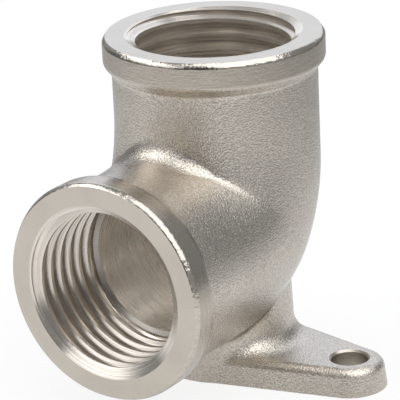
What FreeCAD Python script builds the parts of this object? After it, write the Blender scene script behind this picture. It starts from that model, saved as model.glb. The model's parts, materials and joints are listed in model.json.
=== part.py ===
# Wall plate elbow: one hot-forged brass fitting with two female pipe sockets at a right angle.
# The wall face is z = 0, the outlet opens along +Z and the inlet along -Y.
# The two fixing ears lie along X.  All sizes are in millimetres.
import math
import os

import FreeCAD
import Part

Vector = FreeCAD.Vector

# Pipe thread, half inch parallel: the bore is the crest of the female thread, 18.63 to 19.17 wide.
thread_root_d = 20.955
thread_height = 0.9775
thread_pitch = 1.814
thread_angle = 55.0
thread_root_flat = 0.2
mouth_margin = 0.595
mouth_angle = 120.0
thread_depth = 11.2
thread_runout = 1.874
thread_end_turn = 180.0
passage_d = 17.9
shoulder_angle = 120.0
drill_point_angle = 118.0

# Run of the fitting: height of the inlet axis and reach from the axes' crossing to each face.
axis_height = 17.35
socket_reach = 25.1

# Forged barrels with a collar at each face.
barrel_d = 25.0
collar_step = 1.0
collar_length = 3.2
collar_shoulder = 1.2
collar_round = 0.9
collar_root = 0.5
face_chamfer_width = 0.4
face_chamfer_depth = 0.66

# Bend of the barrels: radius of the bend's centre line outside, and of the crease inside.
bend_r = 6.8
crease_r = 0.6
half_sections = 16

# Round post between the elbow and the wall, thicker at the wall.
post_foot_d = 17.5
post_neck_d = 16.2
neck_fillet = 1.5

# Fixing ears with one screw hole each.
ear_thickness = 3.4
ear_tip_r = 4.55
ear_root_r = 8.6
ear_draft = 0.4
ear_edge_round = 1.2
ear_fillet = 2.4
screw_span = 36.1
screw_hole_d = 4.5
screw_hole_edge = 0.25

# How far a piece runs into its neighbour, and a cutter past the face it opens.
overlap = 1.0
overrun = 1.0

# How near an edge lies to the place it is looked for: on exact shapes and on the lofted skin.
exact_match = 0.001
loft_match = 0.05

barrel_r = barrel_d / 2.0
collar_r = barrel_r + collar_step
thread_root_r = thread_root_d / 2.0
thread_crest_d = thread_root_d - 2.0 * thread_height
crest_r = thread_crest_d / 2.0
mouth_d = thread_root_d + mouth_margin
mouth_r = mouth_d / 2.0
passage_r = passage_d / 2.0
screw_hole_r = screw_hole_d / 2.0
post_foot_r = post_foot_d / 2.0
post_neck_r = post_neck_d / 2.0
ear_hole_x = screw_span / 2.0
back_r = bend_r + barrel_r
barrel_end = socket_reach - collar_length / 2.0
bore_end = socket_reach - thread_depth
collar_shoulder_top = socket_reach - collar_length
collar_shoulder_foot = collar_shoulder_top - collar_shoulder


def cone_depth(width, angle):
    """Depth of a cone of this full angle over a change of radius."""
    return width / math.tan(math.radians(angle / 2.0))


def turned(points):
    """Solid of revolution about Z from an outline of radius and height pairs."""
    corners = [Vector(r, 0, z) for r, z in points]
    face = Part.Face(Part.makePolygon(corners + corners[:1]))
    return face.revolve(Vector(0, 0, 0), Vector(0, 0, 1), 360)


def to_inlet(shape):
    """Turn a shape made along +Z from the axes' crossing so that it runs along -Y."""
    placed = shape.copy()
    placed.rotate(Vector(0, 0, 0), Vector(1, 0, 0), 90)
    placed.translate(Vector(0, 0, axis_height))
    return placed


def to_outlet(shape):
    """Lift a shape made along +Z from the axes' crossing to its height."""
    placed = shape.copy()
    placed.translate(Vector(0, 0, axis_height))
    return placed


def ring_edges(shape, radius, height):
    """Circular edges about Z with this radius and height."""
    found = []
    for edge in shape.Edges:
        if not isinstance(edge.Curve, Part.Circle):
            continue
        same_radius = abs(edge.Curve.Radius - radius) < exact_match
        same_height = abs(edge.Curve.Center.z - height) < exact_match
        if same_radius and same_height:
            found.append(edge)
    return found


def points_on(edge):
    """Points near both ends and at the middle of an edge."""
    start = edge.FirstParameter
    span = edge.LastParameter - start
    return [edge.valueAt(start + span * share) for share in (0.1, 0.5, 0.9)]


def elbow_point(travel, side_offset, corner_r):
    """Point on one edge of the elbow's middle plane, measured along it from the outlet's end.

    The edge runs down beside the outlet axis, round a quarter circle, then along the inlet.
    """
    turn = corner_r - side_offset
    straight = barrel_end - turn
    quarter = corner_r * math.pi / 2.0
    if travel <= straight:
        return Vector(0, side_offset, axis_height + barrel_end - travel)
    if travel >= straight + quarter:
        return Vector(0, -turn - (travel - straight - quarter), axis_height - side_offset)
    angle = (travel - straight) / corner_r
    y = -turn + corner_r * math.cos(angle)
    z = axis_height + turn - corner_r * math.sin(angle)
    return Vector(0, y, z)


def half_section(inner, outer):
    """Half oval on the +X side, from a point of the elbow's back to a point of its crease side."""
    across = outer - inner
    half_across = max(across.Length / 2.0, barrel_r)
    across.normalize()
    normal = across.cross(Vector(1, 0, 0))
    rotation = FreeCAD.Rotation(across, Vector(1, 0, 0), normal, "XYZ")
    arc = Part.Ellipse(Vector(0, 0, 0), half_across, barrel_r).toShape(0.0, math.pi)
    arc.Placement = FreeCAD.Placement((inner + outer) * 0.5, rotation)
    return Part.Wire([arc])


def end_cap(skins, axis, value):
    """Flat face over the skins' open end, where the given coordinate has this value."""
    rim = []
    for skin in skins:
        for edge in skin.Edges:
            box = edge.BoundBox
            low = {"y": box.YMin, "z": box.ZMin}[axis]
            high = {"y": box.YMax, "z": box.ZMax}[axis]
            if abs(low - value) < exact_match and abs(high - value) < exact_match:
                rim.append(edge)
    return Part.Face(Part.Wire(Part.__sortEdges__(rim)))


def make_barrels():
    """Both barrels and the bend between them: one skin lofted on +X and mirrored to -X."""
    inner_half = barrel_end - barrel_r - crease_r + crease_r * math.pi / 4.0
    outer_half = barrel_end - bend_r + back_r * math.pi / 4.0
    wires = []
    for i in range(2 * half_sections + 1):
        share = i / half_sections
        inner = elbow_point(share * inner_half, -barrel_r, crease_r)
        outer = elbow_point(share * outer_half, barrel_r, back_r)
        wires.append(half_section(inner, outer))
    skin = Part.makeLoft(wires, False, False).Faces[0]
    skins = [skin, skin.mirror(Vector(0, 0, 0), Vector(1, 0, 0))]
    caps = [end_cap(skins, "z", axis_height + barrel_end), end_cap(skins, "y", -barrel_end)]
    shell = Part.makeShell(skins + caps)
    shell.sewShape()
    barrels = Part.makeSolid(shell)
    if barrels.Volume < 0:
        barrels.reverse()
    return barrels


def make_collar():
    """Collar at the face of a socket, made along +Z from the axes' crossing."""
    shoulder_slope = collar_shoulder / collar_step
    inner_r = barrel_r - overlap
    inner_z = collar_shoulder_foot - overlap * shoulder_slope
    blank = turned([
        (0, inner_z),
        (inner_r, inner_z),
        (collar_r, collar_shoulder_top),
        (collar_r, socket_reach - face_chamfer_depth),
        (collar_r - face_chamfer_width, socket_reach),
        (0, socket_reach),
    ])
    return blank.makeFillet(collar_round, ring_edges(blank, collar_r, collar_shoulder_top))


def make_post():
    """Round post from the wall face up into the bend."""
    return Part.makeCone(post_foot_r, post_neck_r, axis_height)


def ear_outline(inset, height):
    """Plan of the ear on the +X side: a round tip and two straight sides that run into the post."""
    tip_r = ear_tip_r - inset
    root_r = ear_root_r - inset
    slope = (root_r - tip_r) / ear_hole_x
    rise = math.sqrt(1.0 - slope ** 2)
    tip_start = Vector(ear_hole_x + tip_r * slope, -tip_r * rise, height)
    tip_end = Vector(tip_start.x, -tip_start.y, height)
    root_start = Vector(root_r * slope, -root_r * rise, height)
    root_end = Vector(root_start.x, -root_start.y, height)
    tip = Part.Arc(tip_start, Vector(ear_hole_x + tip_r, 0, height), tip_end).toShape()
    return Part.Wire([
        Part.makeLine(root_start, tip_start),
        tip,
        Part.makeLine(tip_end, root_end),
        Part.makeLine(root_end, root_start),
    ])


def make_ear(side):
    """One fixing ear on the given side, narrower at the top and with its upper edges rounded."""
    ear = Part.makeLoft([ear_outline(0.0, 0.0), ear_outline(ear_draft, ear_thickness)], True, True)
    upper = []
    for edge in ear.Edges:
        box = edge.BoundBox
        on_top = box.ZMin > ear_thickness - exact_match
        at_root = box.XMax < ear_root_r / 2.0
        if on_top and not at_root:
            upper.append(edge)
    ear = ear.makeFillet(ear_edge_round, upper)
    if side < 0:
        ear.rotate(Vector(0, 0, 0), Vector(0, 0, 1), 180)
    return ear


def on_post(edge):
    """True for an edge where an ear meets the post's side, above the wall face."""
    box = edge.BoundBox
    if box.ZMax > ear_thickness + loft_match or box.ZMax < loft_match:
        return False
    taper = (post_foot_r - post_neck_r) / axis_height
    for point in points_on(edge):
        post_r = post_foot_r - taper * point.z
        if abs(math.hypot(point.x, point.y) - post_r) > loft_match:
            return False
    return True


def make_base():
    """Post and both ears, with a fillet where each ear meets the post."""
    base = make_post().fuse([make_ear(1), make_ear(-1)]).removeSplitter()
    return base.makeFillet(ear_fillet, [edge for edge in base.Edges if on_post(edge)])


def make_socket():
    """Cutter for one socket: mouth, thread bore, shoulder, passage and drill point."""
    mouth_end = socket_reach - cone_depth(mouth_r - crest_r, mouth_angle)
    shoulder_end = bore_end - cone_depth(crest_r - passage_r, shoulder_angle)
    drill_tip = -cone_depth(passage_r, drill_point_angle)
    return turned([
        (0, drill_tip),
        (passage_r, 0),
        (passage_r, shoulder_end),
        (crest_r, bore_end),
        (crest_r, mouth_end),
        (mouth_r, socket_reach),
        (mouth_r, socket_reach + overrun),
        (0, socket_reach + overrun),
    ])


def make_thread_groove():
    """Cutter for the groove of one socket's thread: a right-hand helix that runs out at the face."""
    groove_start = bore_end + thread_runout
    turns = math.ceil((socket_reach + overrun - groove_start) / thread_pitch)
    inner_r = crest_r - overlap
    flank_slope = math.tan(math.radians(thread_angle / 2.0))
    root_half = thread_root_flat / 2.0
    inner_half = root_half + (thread_root_r - inner_r) * flank_slope
    corners = [
        Vector(inner_r, 0, -inner_half),
        Vector(thread_root_r, 0, -root_half),
        Vector(thread_root_r, 0, root_half),
        Vector(inner_r, 0, inner_half),
    ]
    profile = Part.makePolygon(corners + corners[:1])
    helix = Part.makeHelix(thread_pitch, turns * thread_pitch, crest_r)
    groove = Part.Wire(helix.Edges).makePipeShell([profile], True, True)
    groove.rotate(Vector(0, 0, 0), Vector(0, 0, 1), thread_end_turn)
    groove.translate(Vector(0, 0, groove_start))
    return groove


def make_screw_hole(side):
    """Cutter for the screw hole of one ear, its upper edge broken by a small chamfer."""
    cutter = turned([
        (0, -overrun),
        (screw_hole_r, -overrun),
        (screw_hole_r, ear_thickness - screw_hole_edge),
        (screw_hole_r + screw_hole_edge + overrun, ear_thickness + overrun),
        (0, ear_thickness + overrun),
    ])
    cutter.translate(Vector(side * ear_hole_x, 0, 0))
    return cutter


def seam_edges(shape, first, second):
    """Edges of a fused shape that lie on the skins of both the given pieces."""
    found = []
    for edge in shape.Edges:
        ends = [Part.Vertex(point) for point in points_on(edge)]
        on_first = all(first.Shells[0].distToShape(end)[0] < exact_match for end in ends)
        on_second = all(second.Shells[0].distToShape(end)[0] < exact_match for end in ends)
        if on_first and on_second:
            found.append(edge)
    return found


def collar_roots(shape):
    """Edges where the collars' shoulders meet the barrels."""
    found = []
    for edge in shape.Edges:
        points = points_on(edge)
        at_outlet = all(abs(p.z - axis_height - collar_shoulder_foot) < loft_match for p in points)
        at_inlet = all(abs(p.y + collar_shoulder_foot) < loft_match for p in points)
        if at_outlet or at_inlet:
            found.append(edge)
    return found


collar = make_collar()
barrels = make_barrels()
base = make_base()
forging = barrels.fuse([to_outlet(collar), to_inlet(collar), base])
forging = forging.makeFillet(neck_fillet, seam_edges(forging, barrels, base))
forging = forging.makeFillet(collar_root, collar_roots(forging))
socket = make_socket()
cutters = [to_outlet(socket), to_inlet(socket), make_screw_hole(1), make_screw_hole(-1)]
bored = forging.cut(cutters).removeSplitter()
groove = make_thread_groove()
elbow_body = bored.cut([to_outlet(groove), to_inlet(groove)])

os.makedirs("parts", exist_ok=True)
elbow_body.exportStep("parts/elbow_body.step")
print("solids", len(elbow_body.Solids), "valid", elbow_body.isValid())
print("volume", round(elbow_body.Volume, 1))
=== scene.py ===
# %% [markdown]
# # Wall plate elbow
# A half inch wall plate elbow is one brass forging, nickel plated: two threaded sockets at a right
# angle on a round post with two screw ears.  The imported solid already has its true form, so this
# lesson adds what the tools and the plating bath leave on it: cleanly cut turns of thread, a soft
# crease between the barrels, and the finishes.

# %% Load the frame
import json
import math

import bmesh
import bpy
from mathutils import Matrix, Vector


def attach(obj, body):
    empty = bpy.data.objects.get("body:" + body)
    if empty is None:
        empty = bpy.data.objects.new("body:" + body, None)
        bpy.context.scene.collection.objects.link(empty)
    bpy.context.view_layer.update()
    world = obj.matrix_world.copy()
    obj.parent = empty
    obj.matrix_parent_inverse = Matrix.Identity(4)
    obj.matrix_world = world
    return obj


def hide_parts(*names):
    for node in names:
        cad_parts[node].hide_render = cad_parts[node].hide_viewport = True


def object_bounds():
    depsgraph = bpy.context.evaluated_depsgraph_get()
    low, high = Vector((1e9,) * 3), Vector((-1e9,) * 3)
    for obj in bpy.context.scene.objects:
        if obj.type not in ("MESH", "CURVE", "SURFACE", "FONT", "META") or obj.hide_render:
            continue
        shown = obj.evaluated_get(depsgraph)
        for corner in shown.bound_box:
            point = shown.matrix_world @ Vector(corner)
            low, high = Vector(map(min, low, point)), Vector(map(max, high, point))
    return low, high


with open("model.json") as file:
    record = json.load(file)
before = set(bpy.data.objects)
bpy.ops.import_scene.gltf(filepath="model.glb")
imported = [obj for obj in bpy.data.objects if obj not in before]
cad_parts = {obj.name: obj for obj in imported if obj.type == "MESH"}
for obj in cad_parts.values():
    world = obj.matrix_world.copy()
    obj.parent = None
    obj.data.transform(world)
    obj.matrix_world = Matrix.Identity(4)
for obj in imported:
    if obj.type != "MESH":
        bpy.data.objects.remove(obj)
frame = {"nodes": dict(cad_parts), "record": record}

MM = 0.001
cad_low, cad_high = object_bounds()
print("CAD box in mm", [round(v / MM, 2) for v in (cad_high - cad_low)])

# %% [markdown]
# The record's two threaded mounts give each socket's axis, its crest radius and where its straight
# wall ends.  Both sockets are the same, so each is described in one local frame whose Z axis runs out
# of the socket from the point where the two axes cross.  A matrix carries that frame to its place.

# %% Find both sockets
quarter_turn = math.pi / 2.0
mounts = {mount["name"]: mount for mount in frame["record"]["mounts"]}
crossing = Vector((0.0, 0.0, mounts["inlet"]["pos_m"][2]))
socket_reach = cad_high.z - crossing.z
crest_radius = mounts["outlet"]["dims"]["r_mm"] * MM
bore_middle = mounts["outlet"]["pos_m"][2] - crossing.z
bore_end = bore_middle - mounts["outlet"]["dims"]["length_mm"] * MM / 2.0
sockets = {
    "outlet": Matrix.Translation(crossing),
    "inlet": Matrix.Translation(crossing) @ Matrix.Rotation(quarter_turn, 4, "X"),
}
print("socket reach", round(socket_reach / MM, 2), "thread wall ends", round(bore_end / MM, 2))

# %% [markdown]
# The camera stands where the photographer stood: to the right of the inlet and a little above, far
# away with a long lens.  A spherical direction, a distance and an aim point are easier to adjust
# than a raw matrix, so the matrix is built from them.  The slight roll is part of the aim.

# %% Place the camera
camera_azimuth = math.radians(35.196)
camera_elevation = math.radians(20.119)
camera_roll = math.radians(-2.685)
camera_distance = 334.275 * MM
focal_length = 245.086
sensor_width = 36.0
aim_height = 24.0 * MM
aim_right = -2.397 * MM
aim_up = -3.036 * MM
nearest_seen = 0.01
farthest_seen = 20.0

back = Vector((
    math.sin(camera_azimuth) * math.cos(camera_elevation),
    -math.cos(camera_azimuth) * math.cos(camera_elevation),
    math.sin(camera_elevation),
))
level_right = Vector((math.cos(camera_azimuth), math.sin(camera_azimuth), 0.0))
level_up = back.cross(level_right)
right = level_right * math.cos(camera_roll) + level_up * math.sin(camera_roll)
up = back.cross(right)
aim = Vector((0.0, 0.0, aim_height)) + right * aim_right + up * aim_up
camera_data = bpy.data.cameras.new("photo_camera")
camera_data.lens = focal_length
camera_data.sensor_width = sensor_width
camera_data.clip_start = nearest_seen
camera_data.clip_end = farthest_seen
camera = bpy.data.objects.new("photo_camera", camera_data)
camera.matrix_world = Matrix((right, up, back)).transposed().to_4x4()
camera.location = aim + back * camera_distance
bpy.context.scene.collection.objects.link(camera)
bpy.context.scene.camera = camera
print("camera at", [round(v / MM, 1) for v in camera.location])

# %% [markdown]
# The thread tool and all the finishes are node trees.  Placing a node and wiring it takes several
# lines each time, so a few helpers do it: they take plain numbers or the outputs of other nodes
# alike, and give back the new node's output.

# %% Helpers for node trees
def link_or_set(tree, socket, value):
    """Link a socket to another, or set it to a plain value."""
    if isinstance(value, bpy.types.NodeSocket):
        tree.links.new(value, socket)
    else:
        socket.default_value = value


def math_node(tree, operation, first, second=0.0, third=0.0):
    """One Math node with its values linked or set; returns its result."""
    node = tree.nodes.new("ShaderNodeMath")
    node.operation = operation
    for socket, value in zip(node.inputs, (first, second, third)):
        link_or_set(tree, socket, value)
    return node.outputs[0]


def map_range(tree, value, from_low, from_high, to_low=0.0, to_high=1.0, kind="LINEAR"):
    """One clamped Map Range node; returns its result."""
    node = tree.nodes.new("ShaderNodeMapRange")
    node.interpolation_type = kind
    for name, number in (
        ("Value", value),
        ("From Min", from_low),
        ("From Max", from_high),
        ("To Min", to_low),
        ("To Max", to_high),
    ):
        link_or_set(tree, node.inputs[name], number)
    return node.outputs[0]


def group_inputs(tree, kind, names):
    """Add named inputs of one kind to a tree's interface."""
    for name in names:
        tree.interface.new_socket(name, in_out="INPUT", socket_type=kind)


print("helpers for node trees are ready")

# %% [markdown]
# The thread follows a helix, so a Geometry Nodes tree makes the tool that cuts it: a flat grid is
# rolled up, with one direction of the grid running along the helix and the other across one pitch.
# Across the pitch the form is that of a pipe thread: straight flanks between a flat crest and a flat
# root.  A Screw modifier could make the helix too, but the tree lets the groove fade out at its end.

# %% Build the tree for the thread tap
tap_sizes = ["Pitch", "Crest radius", "Root radius", "Crest flat", "Root flat", "Start"]
tap_sizes += ["Fade from", "Fade length", "Fade depth"]
tap_counts = ["Turns", "Steps", "Profile points"]
# The grid node makes a square one unit wide about its middle.
grid_half = 0.5
full_turn = 2.0 * math.pi
seam_distance = 0.001 * MM


def place_on_tap(tree, entry):
    """Where each point of the flat grid goes on the tap's surface."""
    flat = tree.nodes.new("ShaderNodeSeparateXYZ")
    tree.links.new(tree.nodes.new("GeometryNodeInputPosition").outputs[0], flat.inputs[0])
    along = math_node(tree, "ADD", flat.outputs["X"], grid_half)
    across = math_node(tree, "ADD", flat.outputs["Y"], grid_half)
    turn = math_node(tree, "MULTIPLY", along, entry["Turns"])
    angle = math_node(tree, "MULTIPLY", turn, full_turn)
    height = math_node(tree, "ADD", turn, across)
    height = math_node(tree, "MULTIPLY_ADD", height, entry["Pitch"], entry["Start"])
    from_root = math_node(tree, "ABSOLUTE", math_node(tree, "MULTIPLY_ADD", across, 2.0, -1.0))
    towards_root = math_node(tree, "SUBTRACT", 1.0, from_root)
    full_depth = math_node(tree, "SUBTRACT", 1.0, entry["Root flat"])
    groove = map_range(tree, towards_root, entry["Crest flat"], full_depth)
    fade_end = math_node(tree, "ADD", entry["Fade from"], entry["Fade length"])
    fade = map_range(tree, height, entry["Fade from"], fade_end, entry["Fade depth"], 1.0)
    depth = math_node(tree, "SUBTRACT", entry["Root radius"], entry["Crest radius"])
    depth = math_node(tree, "MULTIPLY", depth, math_node(tree, "MULTIPLY", groove, fade))
    radius = math_node(tree, "ADD", entry["Crest radius"], depth)
    x = math_node(tree, "MULTIPLY", radius, math_node(tree, "COSINE", angle))
    y = math_node(tree, "MULTIPLY", radius, math_node(tree, "SINE", angle))
    rolled = tree.nodes.new("ShaderNodeCombineXYZ")
    for socket, value in zip(rolled.inputs, (x, y, height)):
        tree.links.new(value, socket)
    return rolled.outputs[0]


def thread_tap_tree():
    """Helical surface of a tap: grooves about Z, starting at a height, fading near their end."""
    tree = bpy.data.node_groups.new("thread_tap", "GeometryNodeTree")
    tree.interface.new_socket("Geometry", in_out="OUTPUT", socket_type="NodeSocketGeometry")
    group_inputs(tree, "NodeSocketFloat", tap_sizes)
    group_inputs(tree, "NodeSocketInt", tap_counts)
    group_inputs(tree, "NodeSocketMaterial", ["Material"])
    entry = tree.nodes.new("NodeGroupInput").outputs
    grid = tree.nodes.new("GeometryNodeMeshGrid")
    rows = math_node(tree, "MULTIPLY_ADD", entry["Turns"], entry["Steps"], 1.0)
    tree.links.new(rows, grid.inputs["Vertices X"])
    tree.links.new(entry["Profile points"], grid.inputs["Vertices Y"])
    move = tree.nodes.new("GeometryNodeSetPosition")
    tree.links.new(place_on_tap(tree, entry), move.inputs["Position"])
    merge = tree.nodes.new("GeometryNodeMergeByDistance")
    merge.inputs["Distance"].default_value = seam_distance
    realize = tree.nodes.new("GeometryNodeRealizeInstances")
    paint = tree.nodes.new("GeometryNodeSetMaterial")
    tree.links.new(entry["Material"], paint.inputs["Material"])
    surface = grid.outputs["Mesh"]
    for node in (move, merge, realize, paint):
        tree.links.new(surface, node.inputs["Geometry"])
        surface = node.outputs[0]
    tree.links.new(surface, tree.nodes.new("NodeGroupOutput").inputs[0])
    return tree


tap_tree = thread_tap_tree()
print("thread tap tree has", len(tap_tree.nodes), "nodes")

# %% [markdown]
# The thread is the half inch parallel pipe thread.  The solid has its groove already, with an end
# that is cut off square.  The tool is a hundredth of a millimetre larger in radius and a little wider
# than that groove, so that the whole wall is cut afresh and no two faces lie on each other.  It also
# goes one turn deeper into the bore, where its groove fades out, as it does where a tap stops.

# %% Size the thread
thread_pitch = 1.814 * MM
thread_root_radius = 20.955 / 2.0 * MM
# Both flats are shares of half a pitch, in whole steps of the profile, which keeps its corners.
half_pitch_steps = 12
thread_crest_flat = 3.0 / half_pitch_steps
thread_root_flat = 2.0 / half_pitch_steps
profile_points = 2 * half_pitch_steps + 1
cut_allowance = 0.012 * MM
last_groove = 0.967 * MM
shoulder_gap = 0.06 * MM
tap_end = bore_end + shoulder_gap
tap_overrun = 1.0 * MM
fade_length = 0.9 * MM
fade_depth = 0.35
spare_turns = 2
steps_per_turn = 112
turns = math.ceil((socket_reach - tap_end + tap_overrun) / thread_pitch) + spare_turns
# A turn of the tool has its root in the middle, half a pitch above where it starts.
tap_start = bore_end + last_groove - (spare_turns + 0.5) * thread_pitch
tap_values = {
    "Pitch": thread_pitch,
    "Crest radius": crest_radius + cut_allowance,
    "Root radius": thread_root_radius + cut_allowance,
    "Crest flat": thread_crest_flat,
    "Root flat": thread_root_flat,
    "Start": tap_start,
    "Fade from": tap_end,
    "Fade length": fade_length,
    "Fade depth": fade_depth,
    "Turns": turns,
    "Steps": steps_per_turn,
    "Profile points": profile_points,
}
print("tool with", turns, "turns, before its ends are cut")

# %% [markdown]
# The tree's surface is open at both ends.  The tool has to be a closed body to cut cleanly, so it is
# squared off there with two cuts, and each end is closed by a fan of faces.

# %% Make the thread taps
cut_tolerance = 1e-9
rim_tolerance = 1e-7


def set_inputs(modifier, tree, values):
    """Set a modifier's inputs by the identifiers of its tree's named sockets."""
    sockets_by_name = {item.name: item.identifier for item in tree.interface.items_tree}
    for name, value in values.items():
        modifier[sockets_by_name[name]] = value


def plain_mesh(obj):
    """The evaluated object as a plain mesh."""
    graph = bpy.context.evaluated_depsgraph_get()
    return bpy.data.meshes.new_from_object(obj.evaluated_get(graph), depsgraph=graph)


def at_height(edge, height):
    """True if both ends of an edge lie at a height."""
    return all(abs(vert.co.z - height) < rim_tolerance for vert in edge.verts)


def close_ends(mesh, low, high):
    """Cut a tube about Z square at two heights and close both ends with fans of faces."""
    shape = bmesh.new()
    shape.from_mesh(mesh)
    for height, side in ((low, -1.0), (high, 1.0)):
        bmesh.ops.bisect_plane(
            shape,
            geom=shape.verts[:] + shape.edges[:] + shape.faces[:],
            dist=cut_tolerance,
            plane_co=(0, 0, height),
            plane_no=(0, 0, side),
            clear_outer=True,
        )
        rim = [edge for edge in shape.edges if edge.is_boundary and at_height(edge, height)]
        centre = shape.verts.new((0.0, 0.0, height))
        for edge in rim:
            shape.faces.new((edge.verts[0], edge.verts[1], centre))
    bmesh.ops.recalc_face_normals(shape, faces=shape.faces)
    open_edges = sum(1 for edge in shape.edges if not edge.is_manifold)
    shape.to_mesh(mesh)
    shape.free()
    return open_edges


def thread_tap(name, matrix):
    """The tool for one socket, as a closed mesh object in its place."""
    tool = bpy.data.objects.new(name + "_tap", bpy.data.meshes.new(name + "_tap"))
    bpy.context.scene.collection.objects.link(tool)
    modifier = tool.modifiers.new("thread", "NODES")
    modifier.node_group = tap_tree
    set_inputs(modifier, tap_tree, tap_values)
    mesh = plain_mesh(tool)
    tool.modifiers.clear()
    tool.data = mesh
    open_edges = close_ends(mesh, tap_end, socket_reach + tap_overrun)
    mesh.transform(matrix)
    print(tool.name, len(mesh.polygons), "faces,", open_edges, "open edges")
    return tool


taps = [thread_tap(name, matrix) for name, matrix in sockets.items()]

# %% [markdown]
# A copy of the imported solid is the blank.  Its triangles come loose, so they are merged first, and
# the two taps are then cut out of it.  Outside the sockets, the result keeps the forging's form to
# the last corner.

# %% Cut the threads into the body
join_distance = 0.0005 * MM


def merged_copy(node, name):
    """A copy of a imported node's mesh with its loose triangles joined."""
    mesh = node.data.copy()
    mesh.name = name
    shape = bmesh.new()
    shape.from_mesh(mesh)
    bmesh.ops.remove_doubles(shape, verts=shape.verts, dist=join_distance)
    open_edges = sum(1 for edge in shape.edges if not edge.is_manifold)
    shape.to_mesh(mesh)
    shape.free()
    print(name, len(mesh.polygons), "faces,", open_edges, "open edges")
    return mesh


elbow = bpy.data.objects.new("elbow", merged_copy(frame["nodes"]["elbow_body"], "elbow"))
bpy.context.scene.collection.objects.link(elbow)
for tap in taps:
    cut = elbow.modifiers.new("cut", "BOOLEAN")
    cut.operation = "DIFFERENCE"
    cut.solver = "EXACT"
    cut.object = tap
elbow_mesh = plain_mesh(elbow)
elbow.modifiers.clear()
elbow.data = elbow_mesh
for tap in taps:
    bpy.data.objects.remove(tap)
print("elbow with threads", len(elbow_mesh.polygons), "faces")

# %% [markdown]
# In front, where the two barrels meet, a forging die leaves a soft hollow and not a sharp corner.
# A bevel would need one clean edge there, so the skin is moved instead, onto a smooth blend of the
# distances to the two barrels.  The blend narrows towards the sides, where the barrels run into each
# other anyway.

# %% Blend the two barrels
barrel_radius = 12.5 * MM
crease_blend = 2.8 * MM
crease_fade = 3.0
skin_depth = 0.6 * MM
least_reach = 1e-9


def crease_distance(point):
    """Blended distance to the two barrels, its direction, and the share of the full blend there."""
    upright = Vector((point.x, point.y, 0.0))
    level = Vector((point.x, 0.0, point.z - crossing.z))
    to_upright = upright.length - barrel_radius
    to_level = level.length - barrel_radius
    upright.normalize()
    level.normalize()
    reach = crease_blend * (1.0 - upright.dot(level)) + least_reach
    share = min(max(0.5 + 0.5 * (to_level - to_upright) / reach, 0.0), 1.0)
    blend = share * (1.0 - share)
    distance = to_level + (to_upright - to_level) * share - reach * blend
    strength = 4.0 * blend * min(1.0, crease_fade * reach / crease_blend)
    return distance, upright * share + level * (1.0 - share), strength


def skin_height(point):
    """Height of a point over the nearer of the two barrels."""
    from_upright = math.hypot(point.x, point.y)
    from_level = math.hypot(point.x, point.z - crossing.z)
    return min(from_upright, from_level) - barrel_radius


def in_crease(point):
    """True for a point of the outer skin that the blend would move."""
    if point.y > 0.0 or point.z < crossing.z:
        return False
    return skin_height(point) > -skin_depth and crease_distance(point)[2] > 0.0


print("points near the crease", sum(in_crease(vert.co) for vert in elbow_mesh.vertices))

# %% [markdown]
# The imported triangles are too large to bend, so the skin is refined first where the blend will move
# it.  Each point there then goes to where the blended distance is zero, in a few steps, since the
# direction turns a little on the way.  Points are only ever moved outwards, as a filled hollow is.

# %% Soften the crease
finest_edge = 0.3 * MM
refinements = 7
settling_steps = 4


def refine_crease(shape):
    """Halve the long edges along the crease until they are short enough."""
    for _ in range(refinements):
        near_crease = {vert for vert in shape.verts if in_crease(vert.co)}
        long_edges = [
            edge for edge in shape.edges
            if edge.calc_length() > finest_edge and not near_crease.isdisjoint(edge.verts)
        ]
        bmesh.ops.subdivide_edges(shape, edges=long_edges, cuts=1)
        bmesh.ops.triangulate(shape, faces=[face for face in shape.faces if len(face.verts) > 3])


def soften_crease(mesh):
    """Refine the skin along the crease and move it onto the blend; returns the greatest move."""
    shape = bmesh.new()
    shape.from_mesh(mesh)
    refine_crease(shape)
    greatest = 0.0
    for vert in [vert for vert in shape.verts if in_crease(vert.co)]:
        start = vert.co.copy()
        distance, direction, blend = crease_distance(start)
        height = min(skin_height(start), 0.0) * (1.0 - blend * blend * (3.0 - 2.0 * blend))
        if distance > height:
            continue
        for _ in range(settling_steps):
            vert.co -= direction * ((distance - height) / direction.length_squared)
            distance, direction, _ = crease_distance(vert.co)
        greatest = max(greatest, (vert.co - start).length)
    shape.to_mesh(mesh)
    shape.free()
    return greatest


greatest_move = soften_crease(elbow_mesh)
print("crease filled by up to", round(greatest_move / MM, 2), "mm,", len(elbow_mesh.polygons), "faces")

# %% [markdown]
# One forging carries several finishes: the blasted skin, the brushed collars, the turned faces and
# edges, the cut threads, the drilled passages and the trimmed foot.  Each face gets its finish from
# where it lies in a socket's own frame, because the radius and depth there say which tool made it.

# %% Sort the faces by the tool that made them
near = 0.05 * MM
nearest = 0.012 * MM
collar_radius = 13.5 * MM
collar_band = 3.3 * MM
face_radius = 13.08 * MM
face_depth = 0.68 * MM
mouth_radius = 10.775 * MM
mouth_half_angle = math.radians(60.0)
mouth_slope = math.tan(mouth_half_angle)
thread_margin = 0.02 * MM
thread_bottom = socket_reach - bore_end + thread_margin
shoulder_depth = 0.36 * MM
passage_radius = 8.95 * MM
drill_half_angle = math.radians(59.0)
drill_tip_depth = passage_radius / math.tan(drill_half_angle)
screw_hole_offset = mounts["ear_screws"]["dims"]["spacing_x_mm"] / 2.0 * MM
screw_hole_edge = 2.6 * MM
ear_top = 3.45 * MM
facing_down = -0.9
into_sockets = {name: matrix.inverted() for name, matrix in sockets.items()}
socket_finishes = ["collar", "edge", "face", "mouth", "thread", "passage"]
finishes = ["forged_skin", "trimmed_metal"]
finishes += [f"{socket}_{kind}" for socket in sockets for kind in socket_finishes]


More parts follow.
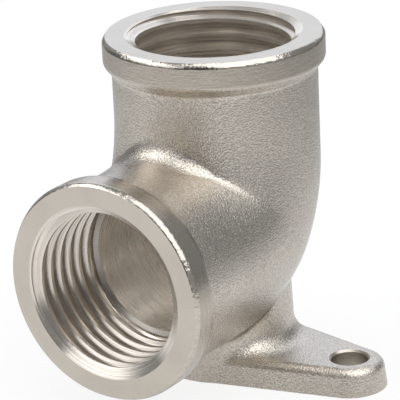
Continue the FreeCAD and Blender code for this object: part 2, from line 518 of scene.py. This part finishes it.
def finish_in_socket(point):
    """Which cut finish a point in a socket's frame has, or None on the outside."""
    radius = math.hypot(point.x, point.y)
    depth = socket_reach - point.z
    if mouth_radius - near < radius < collar_radius + near and depth < near:
        return "face"
    if face_radius < radius < collar_radius + near and depth < face_depth:
        return "edge"
    if abs(radius - collar_radius) < near and depth < collar_band:
        return "collar"
    from_mouth = abs(mouth_radius - radius - depth * mouth_slope)
    if crest_radius + near < radius < mouth_radius + near and from_mouth < nearest:
        return "mouth"
    if radius < mouth_radius + near and depth < thread_bottom:
        return "thread"
    if radius < crest_radius + near and depth < thread_bottom + shoulder_depth:
        return "passage"
    if radius < passage_radius * min(1.0, 1.0 + point.z / drill_tip_depth) + near:
        return "passage"
    return None


def finish_of(point, normal):
    """The finish of a face from its middle and its direction."""
    for name, matrix in into_sockets.items():
        kind = finish_in_socket(matrix @ point)
        if kind:
            return f"{name}_{kind}"
    if point.z < near and normal.z < facing_down:
        return "trimmed_metal"
    if point.z < ear_top and math.hypot(abs(point.x) - screw_hole_offset, point.y) < screw_hole_edge:
        return "trimmed_metal"
    return "forged_skin"


print("finishes", finishes)

# %% [markdown]
# Smooth shading needs its edges: a fillet should run soft into its neighbours, while a turned corner
# stays crisp.  Edges that turn by more than a set angle are marked sharp, and a Weighted Normal
# modifier lets the large flat faces keep their own direction.

# %% Shade smooth with crisp edges
sharp_angle = math.radians(38.0)
tool_edge_angle = math.radians(12.0)
thread_edge_angle = math.radians(45.0)
sliver_length = 0.0002 * MM


def smooth_limit(sides):
    """The angle from which an edge is crisp, from the finishes on its sides."""
    if len(sides) > 1:
        return tool_edge_angle
    if min(sides).endswith("thread"):
        return thread_edge_angle
    return sharp_angle


def shade(mesh):
    """Smooth faces, with corners left crisp, and also weaker ones where two tools' cuts meet."""
    leftover = mesh.attributes.get("custom_normal")
    if leftover:
        mesh.attributes.remove(leftover)
    shape = bmesh.new()
    shape.from_mesh(mesh)
    bmesh.ops.remove_doubles(shape, verts=shape.verts, dist=join_distance)
    bmesh.ops.dissolve_degenerate(shape, edges=shape.edges, dist=sliver_length)
    kinds = {}
    for face in shape.faces:
        face.smooth = True
        kinds[face] = finish_of(face.calc_center_median(), face.normal)
    sharp = 0
    for edge in shape.edges:
        limit = smooth_limit({kinds[face] for face in edge.link_faces})
        edge.smooth = edge.is_manifold and edge.calc_face_angle(0.0) < limit
        sharp += not edge.smooth
    shape.to_mesh(mesh)
    shape.free()
    mended = mesh.validate()
    print("sharp edges", sharp, "mended", mended, "faces", len(mesh.polygons))


shade(elbow_mesh)
weighted = elbow.modifiers.new("weighted", "WEIGHTED_NORMAL")
weighted.keep_sharp = True
elbow_mesh = plain_mesh(elbow)
elbow.modifiers.clear()
elbow.data = elbow_mesh

# %% [markdown]
# Every finish is the same nickel, so the effects that give it life are shared node groups that put
# out heights and masks, while each material sets its own sizes.  The first is the grain of blasted
# skin: fine pits over a shallow orange peel.  Two noises of different sizes make it.

# %% Blasted grain
pit_mask = 0.25, 0.6


def shader_group(name, vectors, floats, outputs):
    """An empty shader node group with named vector and float inputs and float outputs."""
    tree = bpy.data.node_groups.new(name, "ShaderNodeTree")
    group_inputs(tree, "NodeSocketVector", vectors)
    group_inputs(tree, "NodeSocketFloat", floats)
    for label in outputs:
        tree.interface.new_socket(label, in_out="OUTPUT", socket_type="NodeSocketFloat")
    return tree, tree.nodes.new("NodeGroupInput").outputs, tree.nodes.new("NodeGroupOutput").inputs


def noise(tree, vector, size, detail, roughness):
    """One three-dimensional Noise Texture with features of a size; returns its value."""
    node = tree.nodes.new("ShaderNodeTexNoise")
    tree.links.new(vector, node.inputs["Vector"])
    tree.links.new(math_node(tree, "DIVIDE", 1.0, size), node.inputs["Scale"])
    node.inputs["Detail"].default_value = detail
    node.inputs["Roughness"].default_value = roughness
    return node.outputs[0]


def blasted_grain_group():
    """Fine grain on shallow orange peel: its height, and a mask that is low in the pits."""
    sizes = ["Grain size", "Peel size", "Peel share"]
    tree, entry, result = shader_group("blasted_grain", ["Vector"], sizes, ["Height", "Tone"])
    fine = noise(tree, entry["Vector"], entry["Grain size"], detail=2.0, roughness=0.6)
    peel = noise(tree, entry["Vector"], entry["Peel size"], detail=2.0, roughness=0.5)
    height = math_node(tree, "MULTIPLY_ADD", peel, entry["Peel share"], fine)
    tree.links.new(height, result["Height"])
    tree.links.new(map_range(tree, fine, *pit_mask), result["Tone"])
    return tree


blasted_grain = blasted_grain_group()
print("shared effect", blasted_grain.name)

# %% [markdown]
# A turning tool leaves fine lines that change only with the distance from the lathe's axis, or along
# it.  One-dimensional noise of that distance gives uneven lines, where a wave would give a regular
# pattern that looks drawn.

# %% Tool marks
def tool_marks_group():
    """Fine lines that change with distance from a lathe's axis or along it."""
    tree, entry, result = shader_group("tool_marks", [], ["Distance", "Spacing"], ["Height"])
    lines = tree.nodes.new("ShaderNodeTexNoise")
    lines.noise_dimensions = "1D"
    tree.links.new(math_node(tree, "DIVIDE", entry["Distance"], entry["Spacing"]), lines.inputs["W"])
    lines.inputs["Scale"].default_value = 1.0
    lines.inputs["Detail"].default_value = 3.0
    tree.links.new(lines.outputs[0], result["Height"])
    return tree


tool_marks = tool_marks_group()
print("shared effect", tool_marks.name)

# %% [markdown]
# Plating is never quite even: its tone drifts slowly over several millimetres.  A large soft noise,
# pulled apart into light and dark patches, stands for that.

# %% Plating drift
patch_mask = 0.3, 0.7


def plating_drift_group():
    """Slow change of tone over the plating, from 0 to 1."""
    tree, entry, result = shader_group("plating_drift", ["Vector"], ["Patch size"], ["Tone"])
    patches = noise(tree, entry["Vector"], entry["Patch size"], detail=3.0, roughness=0.55)
    tree.links.new(map_range(tree, patches, *patch_mask, kind="SMOOTHSTEP"), result["Tone"])
    return tree


plating_drift = plating_drift_group()
print("shared effect", plating_drift.name)

# %% [markdown]
# A belt or a tap leaves streaks that run round the axis: long in the turning direction and narrow
# along the axis.  The noise is read on a circle, sized so that a streak spans a set part of a turn,
# because a circle has no seam where the angle starts again.

# %% Brushed streaks
streak_mask = 0.3, 0.7


def brushed_streaks_group():
    """Streaks that run round an axis, as a tone from 0 to 1."""
    sizes = ["Angle", "Height", "Streak turn", "Streak width"]
    tree, entry, result = shader_group("brushed_streaks", [], sizes, ["Tone"])
    ring = math_node(tree, "DIVIDE", 1.0, entry["Streak turn"])
    x = math_node(tree, "MULTIPLY", math_node(tree, "COSINE", entry["Angle"]), ring)
    y = math_node(tree, "MULTIPLY", math_node(tree, "SINE", entry["Angle"]), ring)
    z = math_node(tree, "DIVIDE", entry["Height"], entry["Streak width"])
    place = tree.nodes.new("ShaderNodeCombineXYZ")
    for socket, value in zip(place.inputs, (x, y, z)):
        tree.links.new(value, socket)
    streaks = noise(tree, place.outputs[0], size=1.0, detail=2.0, roughness=0.6)
    tree.links.new(map_range(tree, streaks, *streak_mask), result["Tone"])
    return tree


brushed_streaks = brushed_streaks_group()
print("shared effect", brushed_streaks.name)

# %% [markdown]
# The materials differ in how rough the plated surface is and in which marks it carries.  Colours
# stay close to each other, because the same bath plated all of them.  The marks of a lathe or a tap
# follow a socket's axis, so those materials read their coordinates in the socket's own frame.
# In what follows, a pair of tones or of roughness values is for a mask's 0 and 1, and a bump is
# given as its strength and its depth.

# %% Helpers for the materials
materials = {}


def place_group(tree, group, **values):
    """Place a node group in a material with its inputs linked or set; returns its outputs."""
    node = tree.nodes.new("ShaderNodeGroup")
    node.node_tree = group
    for label, value in values.items():
        link_or_set(tree, node.inputs[label.replace("_", " ")], value)
    return node.outputs


def mix_colors(tree, factor, first, second):
    """Mix of two colours by a factor."""
    node = tree.nodes.new("ShaderNodeMix")
    node.data_type = "RGBA"
    link_or_set(tree, node.inputs["Factor"], factor)
    link_or_set(tree, node.inputs[6], first)
    link_or_set(tree, node.inputs[7], second)
    return node.outputs[2]


def bump(tree, height, strength, depth, normal=None):
    """A Bump node, on top of another normal if one is given; returns its normal."""
    node = tree.nodes.new("ShaderNodeBump")
    node.inputs["Strength"].default_value = strength
    node.inputs["Distance"].default_value = depth
    tree.links.new(height, node.inputs["Height"])
    if normal:
        tree.links.new(normal, node.inputs["Normal"])
    return node.outputs[0]


def nickel(name, metallic=1.0):
    """A new metal material, kept by name; returns its tree, its shader and its object coordinates."""
    material = bpy.data.materials.new(name)
    material.use_nodes = True
    materials[name] = material
    tree = material.node_tree
    shader = tree.nodes["Principled BSDF"]
    shader.inputs["Metallic"].default_value = metallic
    return tree, shader, tree.nodes.new("ShaderNodeTexCoord").outputs["Object"]


def dress(tree, shader, tone, roughness, normal):
    """Link a shader to its tone and normal, and its roughness to a mask with values for 0 and 1."""
    mask, at_zero, at_one = roughness
    tree.links.new(tone, shader.inputs["Base Color"])
    tree.links.new(map_range(tree, mask, 0.0, 1.0, at_zero, at_one), shader.inputs["Roughness"])
    tree.links.new(normal, shader.inputs["Normal"])


def socket_coordinates(tree, vector, name):
    """Radius, angle and height about the named socket's axis, from object coordinates."""
    mapping = tree.nodes.new("ShaderNodeMapping")
    tree.links.new(vector, mapping.inputs["Vector"])
    if name == "outlet":
        mapping.inputs["Location"].default_value = (0.0, 0.0, -crossing.z)
    else:
        mapping.inputs["Rotation"].default_value = (-quarter_turn, 0.0, 0.0)
        mapping.inputs["Location"].default_value = (0.0, -crossing.z, 0.0)
    parts = tree.nodes.new("ShaderNodeSeparateXYZ")
    tree.links.new(mapping.outputs[0], parts.inputs[0])
    x, y, z = parts.outputs
    squares = math_node(tree, "MULTIPLY_ADD", x, x, math_node(tree, "MULTIPLY", y, y))
    return math_node(tree, "SQRT", squares), math_node(tree, "ARCTAN2", y, x), z


def make_for_sockets(kind, maker):
    """Make a finish for each socket, named after the socket and the kind of finish."""
    for socket in sockets:
        maker(f"{socket}_{kind}", socket)
        print("finish", f"{socket}_{kind}")


print("helpers for the materials are ready")

# %% [markdown]
# The forging is blasted clean before plating, which leaves a satin skin with a fine sparkling grain.
# The grain is a bump, and its pits are also rougher than the tops and painted darker, as shade
# in the pits, because so fine a bump blurs away at a distance while a painted tone stays.

# %% Forged skin
skin_tones = (0.585, 0.538, 0.478, 1.0), (0.635, 0.586, 0.52, 1.0)
skin_pit_painted_shade = (0.39, 0.357, 0.314, 1.0)
skin_roughness = 0.28, 0.16
skin_grain = {"Grain_size": 0.2 * MM, "Peel_size": 0.6 * MM, "Peel_share": 0.25}
skin_grain_bump = 1.0, 0.075 * MM
skin_patch = 9.0 * MM


def forged_skin(name):
    """Blasted and plated skin of the forging: satin, warm grey, with a fine sparkling grain."""
    tree, shader, place = nickel(name)
    grain = place_group(tree, blasted_grain, Vector=place, **skin_grain)
    drift = place_group(tree, plating_drift, Vector=place, Patch_size=skin_patch)
    tone = mix_colors(tree, drift["Tone"], *skin_tones)
    # The pits get painted shade: a darker tone where the grain is low.
    tone = mix_colors(tree, grain["Tone"], skin_pit_painted_shade, tone)
    relief = bump(tree, grain["Height"], *skin_grain_bump)
    dress(tree, shader, tone, (grain["Tone"], *skin_roughness), relief)


forged_skin("forged_skin")
print("finish forged_skin")

# %% [markdown]
# A lathe faces the end of each socket flat and leaves fine rings about its axis.  The plating rounds
# them over, so the rings are shallow and a weak grain lies on top of them.

# %% Turned faces
face_tones = (0.495, 0.453, 0.397, 1.0), (0.535, 0.493, 0.433, 1.0)
face_roughness = 0.10, 0.18
face_ring = 0.07 * MM
face_ring_bump = 0.5, 0.008 * MM
face_grain = {"Grain_size": 0.25 * MM, "Peel_size": 0.9 * MM, "Peel_share": 0.5}
face_grain_bump = 0.5, 0.016 * MM
face_patch = 5.0 * MM


def turned_face(name, socket):
    """Faced end of a socket: fine rings about the socket's axis."""
    tree, shader, place = nickel(name)
    radius, _, _ = socket_coordinates(tree, place, socket)
    marks = place_group(tree, tool_marks, Distance=radius, Spacing=face_ring)
    drift = place_group(tree, plating_drift, Vector=place, Patch_size=face_patch)
    grain = place_group(tree, blasted_grain, Vector=place, **face_grain)
    tone = mix_colors(tree, drift["Tone"], *face_tones)
    rings = bump(tree, marks["Height"], *face_ring_bump)
    relief = bump(tree, grain["Height"], *face_grain_bump, rings)
    dress(tree, shader, tone, (drift["Tone"], *face_roughness), relief)


make_for_sockets("face", turned_face)

# %% [markdown]
# The collars are smoothed by a belt that runs round them, so their marks are streaks along the turn
# over what is left of the grain.  Streaks in tone, roughness and height together read as brushing.

# %% Brushed collars
collar_tones = (0.43, 0.39, 0.338, 1.0), (0.51, 0.467, 0.41, 1.0)
collar_roughness = 0.30, 0.20
collar_streaks = {"Streak_turn": 0.22, "Streak_width": 0.10 * MM}
collar_streak_bump = 0.5, 0.010 * MM
collar_grain = {"Grain_size": 0.3 * MM, "Peel_size": 1.4 * MM, "Peel_share": 1.0}
collar_grain_bump = 0.5, 0.05 * MM


def brushed_collar(name, socket):
    """Collar wall that a belt has smoothed: faint marks run round it over a weak grain."""
    tree, shader, place = nickel(name)
    _, angle, height = socket_coordinates(tree, place, socket)
    streaks = place_group(tree, brushed_streaks, Angle=angle, Height=height, **collar_streaks)
    grain = place_group(tree, blasted_grain, Vector=place, **collar_grain)
    tone = mix_colors(tree, streaks["Tone"], *collar_tones)
    lines = bump(tree, streaks["Tone"], *collar_streak_bump)
    relief = bump(tree, grain["Height"], *collar_grain_bump, lines)
    dress(tree, shader, tone, (streaks["Tone"], *collar_roughness), relief)


make_for_sockets("collar", brushed_collar)

# %% [markdown]
# Where the face meets the collar, the tool breaks the edge with a narrow chamfer.  It is the
# brightest line on the fitting, nicked by handling and a little crowned by polishing.  The chamfer
# is in the solid, so a bump across it is enough to give the crown.

# %% Polished edges
edge_tones = (0.46, 0.42, 0.365, 1.0), (0.58, 0.535, 0.475, 1.0)
edge_roughness = 0.20, 0.08
edge_crown_bump = 1.0, 0.09 * MM
edge_grain = {"Grain_size": 0.35 * MM, "Peel_size": 1.1 * MM, "Peel_share": 1.4}
edge_grain_bump = 0.8, 0.06 * MM


def polished_edge(name, socket):
    """Chamfer at a socket's face, bright from the tool and nicked by handling."""
    tree, shader, place = nickel(name)
    _, _, height = socket_coordinates(tree, place, socket)
    grain = place_group(tree, blasted_grain, Vector=place, **edge_grain)
    tone = mix_colors(tree, grain["Tone"], *edge_tones)
    across = map_range(tree, height, socket_reach - face_depth, socket_reach, -1.0, 1.0)
    crown = math_node(tree, "SUBTRACT", 1.0, math_node(tree, "MULTIPLY", across, across))
    rounded = bump(tree, crown, *edge_crown_bump)
    relief = bump(tree, grain["Height"], *edge_grain_bump, rounded)
    dress(tree, shader, tone, (grain["Tone"], *edge_roughness), relief)


make_for_sockets("edge", polished_edge)

# %% [markdown]
# A tap leaves bright flanks with streaks along the turns, and the countersunk mouth is cut by the
# same kind of edge, so both share one finish.  Light bounces many times between the flanks, so the
# thread gets a pale tone and a metal that isn't quite pure in the shader: painted bounce light that
# keeps it as pale in there as the plated thread looks.

# %% Cut threads
thread_metallic = 0.8
# Pale tones: painted bounce light between the flanks.
thread_tones_with_painted_bounce = (0.78, 0.725, 0.655, 1.0), (0.86, 0.80, 0.73, 1.0)
thread_streak_tone = (0.50, 0.46, 0.41, 1.0)
thread_roughness = 0.14, 0.22
thread_streaks = {"Streak_turn": 0.9, "Streak_width": 0.2 * MM}
thread_line = 0.09 * MM
thread_line_bump = 0.4, 0.01 * MM
thread_patch = 3.0 * MM


def cut_thread(name, socket):
    """Bright flanks left by the tap, with lines that run along the thread."""
    tree, shader, place = nickel(name, thread_metallic)
    radius, angle, height = socket_coordinates(tree, place, socket)
    across = math_node(tree, "ADD", radius, height)
    marks = place_group(tree, tool_marks, Distance=across, Spacing=thread_line)
    streaks = place_group(tree, brushed_streaks, Angle=angle, Height=across, **thread_streaks)
    drift = place_group(tree, plating_drift, Vector=place, Patch_size=thread_patch)
    tone = mix_colors(tree, drift["Tone"], *thread_tones_with_painted_bounce)
    tone = mix_colors(tree, streaks["Tone"], thread_streak_tone, tone)
    relief = bump(tree, marks["Height"], *thread_line_bump)
    dress(tree, shader, tone, (drift["Tone"], *thread_roughness), relief)


make_for_sockets("mouth", cut_thread)
make_for_sockets("thread", cut_thread)

# %% [markdown]
# The drilled passages are smooth, with fine rings along their length.  The narrow shoulder behind the
# thread, where the drill changes size, shows chatter: fine dark ticks round the ring.  They are a
# sine of the angle, stronger in some places than in others, as chatter is.

# %% Drilled passages
# The pale tones and the metal that isn't quite pure are painted bounce light in the deep bore.
passage_metallic = 0.6
passage_tones_with_painted_bounce = (0.86, 0.815, 0.75, 1.0), (0.94, 0.895, 0.83, 1.0)
passage_streak_tone = (0.75, 0.70, 0.635, 1.0)
passage_roughness = 0.34, 0.18
passage_streaks = {"Streak_turn": 0.7, "Streak_width": 0.28 * MM}
passage_ring = 0.12 * MM
passage_ring_bump = 0.5, 0.012 * MM
passage_patch = 4.0 * MM
shoulder_fade = 0.06 * MM
shoulder_band = bore_end - shoulder_depth, bore_end - shoulder_depth + shoulder_fade
tick_count = 214.0
# Two ranges: what comes in from and to, and what it becomes from and to.
tick_strength = 0.1, 0.7, 0.15, 1.0
tick_wear = -0.8, 0.8, 0.55, 0.95
tick_tone = (0.30, 0.275, 0.24, 1.0)
tick_bump = 0.5, 0.006 * MM


def drilled_passage(name, socket):
    """Smooth drilled wall with fine rings, and chatter ticks on the shoulder behind the thread."""
    tree, shader, place = nickel(name, passage_metallic)
    _, angle, height = socket_coordinates(tree, place, socket)
    marks = place_group(tree, tool_marks, Distance=height, Spacing=passage_ring)
    drift = place_group(tree, plating_drift, Vector=place, Patch_size=passage_patch)
    streaks = place_group(tree, brushed_streaks, Angle=angle, Height=height, **passage_streaks)
    tone = mix_colors(tree, drift["Tone"], *passage_tones_with_painted_bounce)
    tone = mix_colors(tree, streaks["Tone"], passage_streak_tone, tone)
    ticks = math_node(tree, "SINE", math_node(tree, "MULTIPLY", angle, tick_count))
    ticks = math_node(tree, "MULTIPLY", ticks, map_range(tree, drift["Tone"], *tick_strength))
    on_shoulder = map_range(tree, height, *shoulder_band)
    worn = math_node(tree, "MULTIPLY", on_shoulder, map_range(tree, ticks, *tick_wear))
    tone = mix_colors(tree, worn, tone, tick_tone)
    rings = bump(tree, marks["Height"], *passage_ring_bump)
    relief = bump(tree, math_node(tree, "MULTIPLY", ticks, on_shoulder), *tick_bump, rings)
    dress(tree, shader, tone, (streaks["Tone"], *passage_roughness), relief)


make_for_sockets("passage", drilled_passage)

# %% [markdown]
# The foot is trimmed flat and the screw holes are drilled, so both are plain cut metal, a little
# darker and duller than the rest.  They need no axis, only a weak grain.

# %% Trimmed metal
trim_tones = (0.42, 0.39, 0.345, 1.0), (0.50, 0.465, 0.415, 1.0)
trim_roughness = 0.26, 0.36
trim_grain = {"Grain_size": 0.3 * MM, "Peel_size": 2.0 * MM, "Peel_share": 0.4}
trim_grain_bump = 0.6, 0.015 * MM
trim_patch = 6.0 * MM


def trimmed_metal(name):
    """Flat foot and screw holes: plainly cut, with a weak grain."""
    tree, shader, place = nickel(name)
    grain = place_group(tree, blasted_grain, Vector=place, **trim_grain)
    drift = place_group(tree, plating_drift, Vector=place, Patch_size=trim_patch)
    tone = mix_colors(tree, drift["Tone"], *trim_tones)
    relief = bump(tree, grain["Height"], *trim_grain_bump)
    dress(tree, shader, tone, (grain["Tone"], *trim_roughness), relief)


trimmed_metal("trimmed_metal")
print("finish trimmed_metal")

# %% [markdown]
# The elbow stays one piece, as the forging is, with one material slot per finish.  It stands in for
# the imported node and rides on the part's only body.

# %% Give the elbow its finishes
elbow_mesh.materials.clear()
for finish in finishes:
    elbow_mesh.materials.append(materials[finish])
counts = dict.fromkeys(finishes, 0)
for polygon in elbow_mesh.polygons:
    finish = finish_of(polygon.center, polygon.normal)
    polygon.material_index = finishes.index(finish)
    counts[finish] += 1
print("faces by finish", counts)
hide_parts("elbow_body")
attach(elbow, "root")
print("elbow has", len(elbow_mesh.materials), "finishes")

# %% [markdown]
# Metal shows what stands around it.  The white table gets a painted pool of light: its colour and
# glow are bright near the fitting and fall off farther away, so the undersides reflect a pale floor
# that darkens towards the horizon.  To the camera it is nearly plain white, with just the soft shadow kept.

# %% Floor
floor_half = 3.0
floor_roughness = 0.9
floor_painted_light_tones = (0.0, 0.0, 0.0, 1.0), (0.82, 0.82, 0.82, 1.0)
glow_to_camera = 0.85
glow_in_reflections = 0.5
bright_spot = (0.0, -0.06, 0.0)
# Two ranges: the distance from and to, and the brightness from and to.
spot_fade = 0.06, 0.20, 1.0, 0.5
table_fade = 0.20, 0.45, 1.0, 0.4


def painted_floor_light(tree, to_camera):
    """Painted light on the floor: less with distance from the bright spot, but full to the camera."""
    distance = tree.nodes.new("ShaderNodeVectorMath")
    distance.operation = "DISTANCE"
    distance.inputs[1].default_value = bright_spot
    tree.links.new(tree.nodes.new("ShaderNodeTexCoord").outputs["Object"], distance.inputs[0])
    spot = map_range(tree, distance.outputs["Value"], *spot_fade, "SMOOTHSTEP")
    table = map_range(tree, distance.outputs["Value"], *table_fade)
    return math_node(tree, "MAXIMUM", math_node(tree, "MULTIPLY", spot, table), to_camera)


def pale_floor_material():
    """Matt white mixed with a glow, by whether the camera or a reflection sees it."""
    material = bpy.data.materials.new("pale_floor")
    material.use_nodes = True
    tree = material.node_tree
    shader = tree.nodes["Principled BSDF"]
    shader.inputs["Roughness"].default_value = floor_roughness
    shader.inputs["Specular IOR Level"].default_value = 0.0
    glow = tree.nodes.new("ShaderNodeEmission")
    rays = tree.nodes.new("ShaderNodeLightPath").outputs
    # The floor's glow and colour fall off with distance from the fitting: a painted pool of light.
    lit = painted_floor_light(tree, rays["Is Camera Ray"])
    tree.links.new(lit, glow.inputs["Strength"])
    tree.links.new(mix_colors(tree, lit, *floor_painted_light_tones), shader.inputs["Base Color"])
    reflected = math_node(tree, "MAXIMUM", rays["Is Glossy Ray"], rays["Is Transmission Ray"])
    share = math_node(tree, "MULTIPLY", rays["Is Camera Ray"], glow_to_camera)
    share = math_node(tree, "MULTIPLY_ADD", reflected, glow_in_reflections, share)
    mix = tree.nodes.new("ShaderNodeMixShader")
    for socket, value in zip(mix.inputs, (share, shader.outputs[0], glow.outputs[0])):
        tree.links.new(value, socket)
    tree.links.new(mix.outputs[0], tree.nodes["Material Output"].inputs["Surface"])
    return material


floor_mesh = bpy.data.meshes.new("floor")
floor_corners = [
    (-floor_half, -floor_half, 0.0),
    (floor_half, -floor_half, 0.0),
    (floor_half, floor_half, 0.0),
    (-floor_half, floor_half, 0.0),
]
floor_mesh.from_pydata(floor_corners, [], [(0, 1, 2, 3)])
floor_mesh.materials.append(pale_floor_material())
floor = bpy.data.objects.new("floor", floor_mesh)
bpy.context.scene.collection.objects.link(floor)
print("floor", 2.0 * floor_half, "m wide")

# %% [markdown]
# Five soft boxes light it as a product photographer would: one above, one on each side, a weaker one
# in front, and a cool one behind like a window.  Their brightness is given per area, because that is
# what a reflection of the box shows, whatever its size.

# %% Lights
lit_point = Vector((0.0, 0.0, 0.02))


def soft_box(name, place, width, height, radiance, color=(1.0, 1.0, 1.0)):
    """A rectangular area light at a place, facing the elbow, with the given brightness of its face."""
    data = bpy.data.lights.new(name, "AREA")
    data.shape = "RECTANGLE"
    data.size = width
    data.size_y = height
    data.energy = radiance * math.pi * width * height
    data.color = color
    light = bpy.data.objects.new(name, data)
    light.location = place
    towards = lit_point - Vector(place)
    light.rotation_mode = "QUATERNION"
    light.rotation_quaternion = towards.to_track_quat("-Z", "Y")
    bpy.context.scene.collection.objects.link(light)
    print(name, round(data.energy, 2), "W")


soft_box("top_box", (0.22, -0.04, 0.80), width=1.00, height=0.60, radiance=1.8)
soft_box("left_box", (-0.48, -0.24, 0.60), width=0.80, height=0.30, radiance=2.6)
soft_box("front_box", (-0.42, -0.56, 0.42), width=1.00, height=0.34, radiance=1.4)
soft_box("right_box", (0.60, -0.16, 0.50), width=1.00, height=0.45, radiance=1.8)
soft_box("window_box", (-0.30, 0.66, 0.40), width=0.95, height=0.74, radiance=0.87, color=(0.84, 0.89, 1.0))

# %% [markdown]
# A metal in an evenly white room looks like plaster.  The room here is a dim pale grey with a few
# darker corners, and these give the metal its dark bands.  Each corner is a direction, with the
# angles from it between which the room darkens.  The camera itself sees plain white.

# %% Room
room_tone = (0.94, 0.97, 1.0, 1.0)
room_strength = 0.42
dark_corners = [
    {"towards": (0.26, -0.94, 0.18), "inner": 16.0, "outer": 34.0, "depth": 0.82},
    {"towards": (0.60, 0.78, 0.15), "inner": 15.0, "outer": 45.0, "depth": 0.2},
    {"towards": (-0.98, -0.20, 0.0), "inner": 10.0, "outer": 30.0, "depth": 0.6},
]
world = bpy.data.worlds.new("studio")
bpy.context.scene.world = world
world.use_nodes = True
studio = world.node_tree
background = studio.nodes["Background"]
background.inputs["Color"].default_value = room_tone
direction = studio.nodes.new("ShaderNodeTexCoord").outputs["Generated"]


def dark_corner(tree, towards, inner, outer, depth):
    """Factor that darkens the room around one direction, between two angles from it."""
    node = tree.nodes.new("ShaderNodeVectorMath")
    node.operation = "DOT_PRODUCT"
    tree.links.new(direction, node.inputs[0])
    node.inputs[1].default_value = Vector(towards).normalized()
    edges = math.cos(math.radians(outer)), math.cos(math.radians(inner))
    return map_range(tree, node.outputs["Value"], *edges, 1.0, 1.0 - depth, "SMOOTHSTEP")


room = room_strength
for corner in dark_corners:
    room = math_node(studio, "MULTIPLY", dark_corner(studio, **corner), room)
seen = studio.nodes.new("ShaderNodeLightPath").outputs["Is Camera Ray"]
studio.links.new(math_node(studio, "MAXIMUM", room, seen), background.inputs["Strength"])
bpy.context.scene.view_settings.view_transform = "Standard"
print("room with", len(dark_corners), "dark corners")
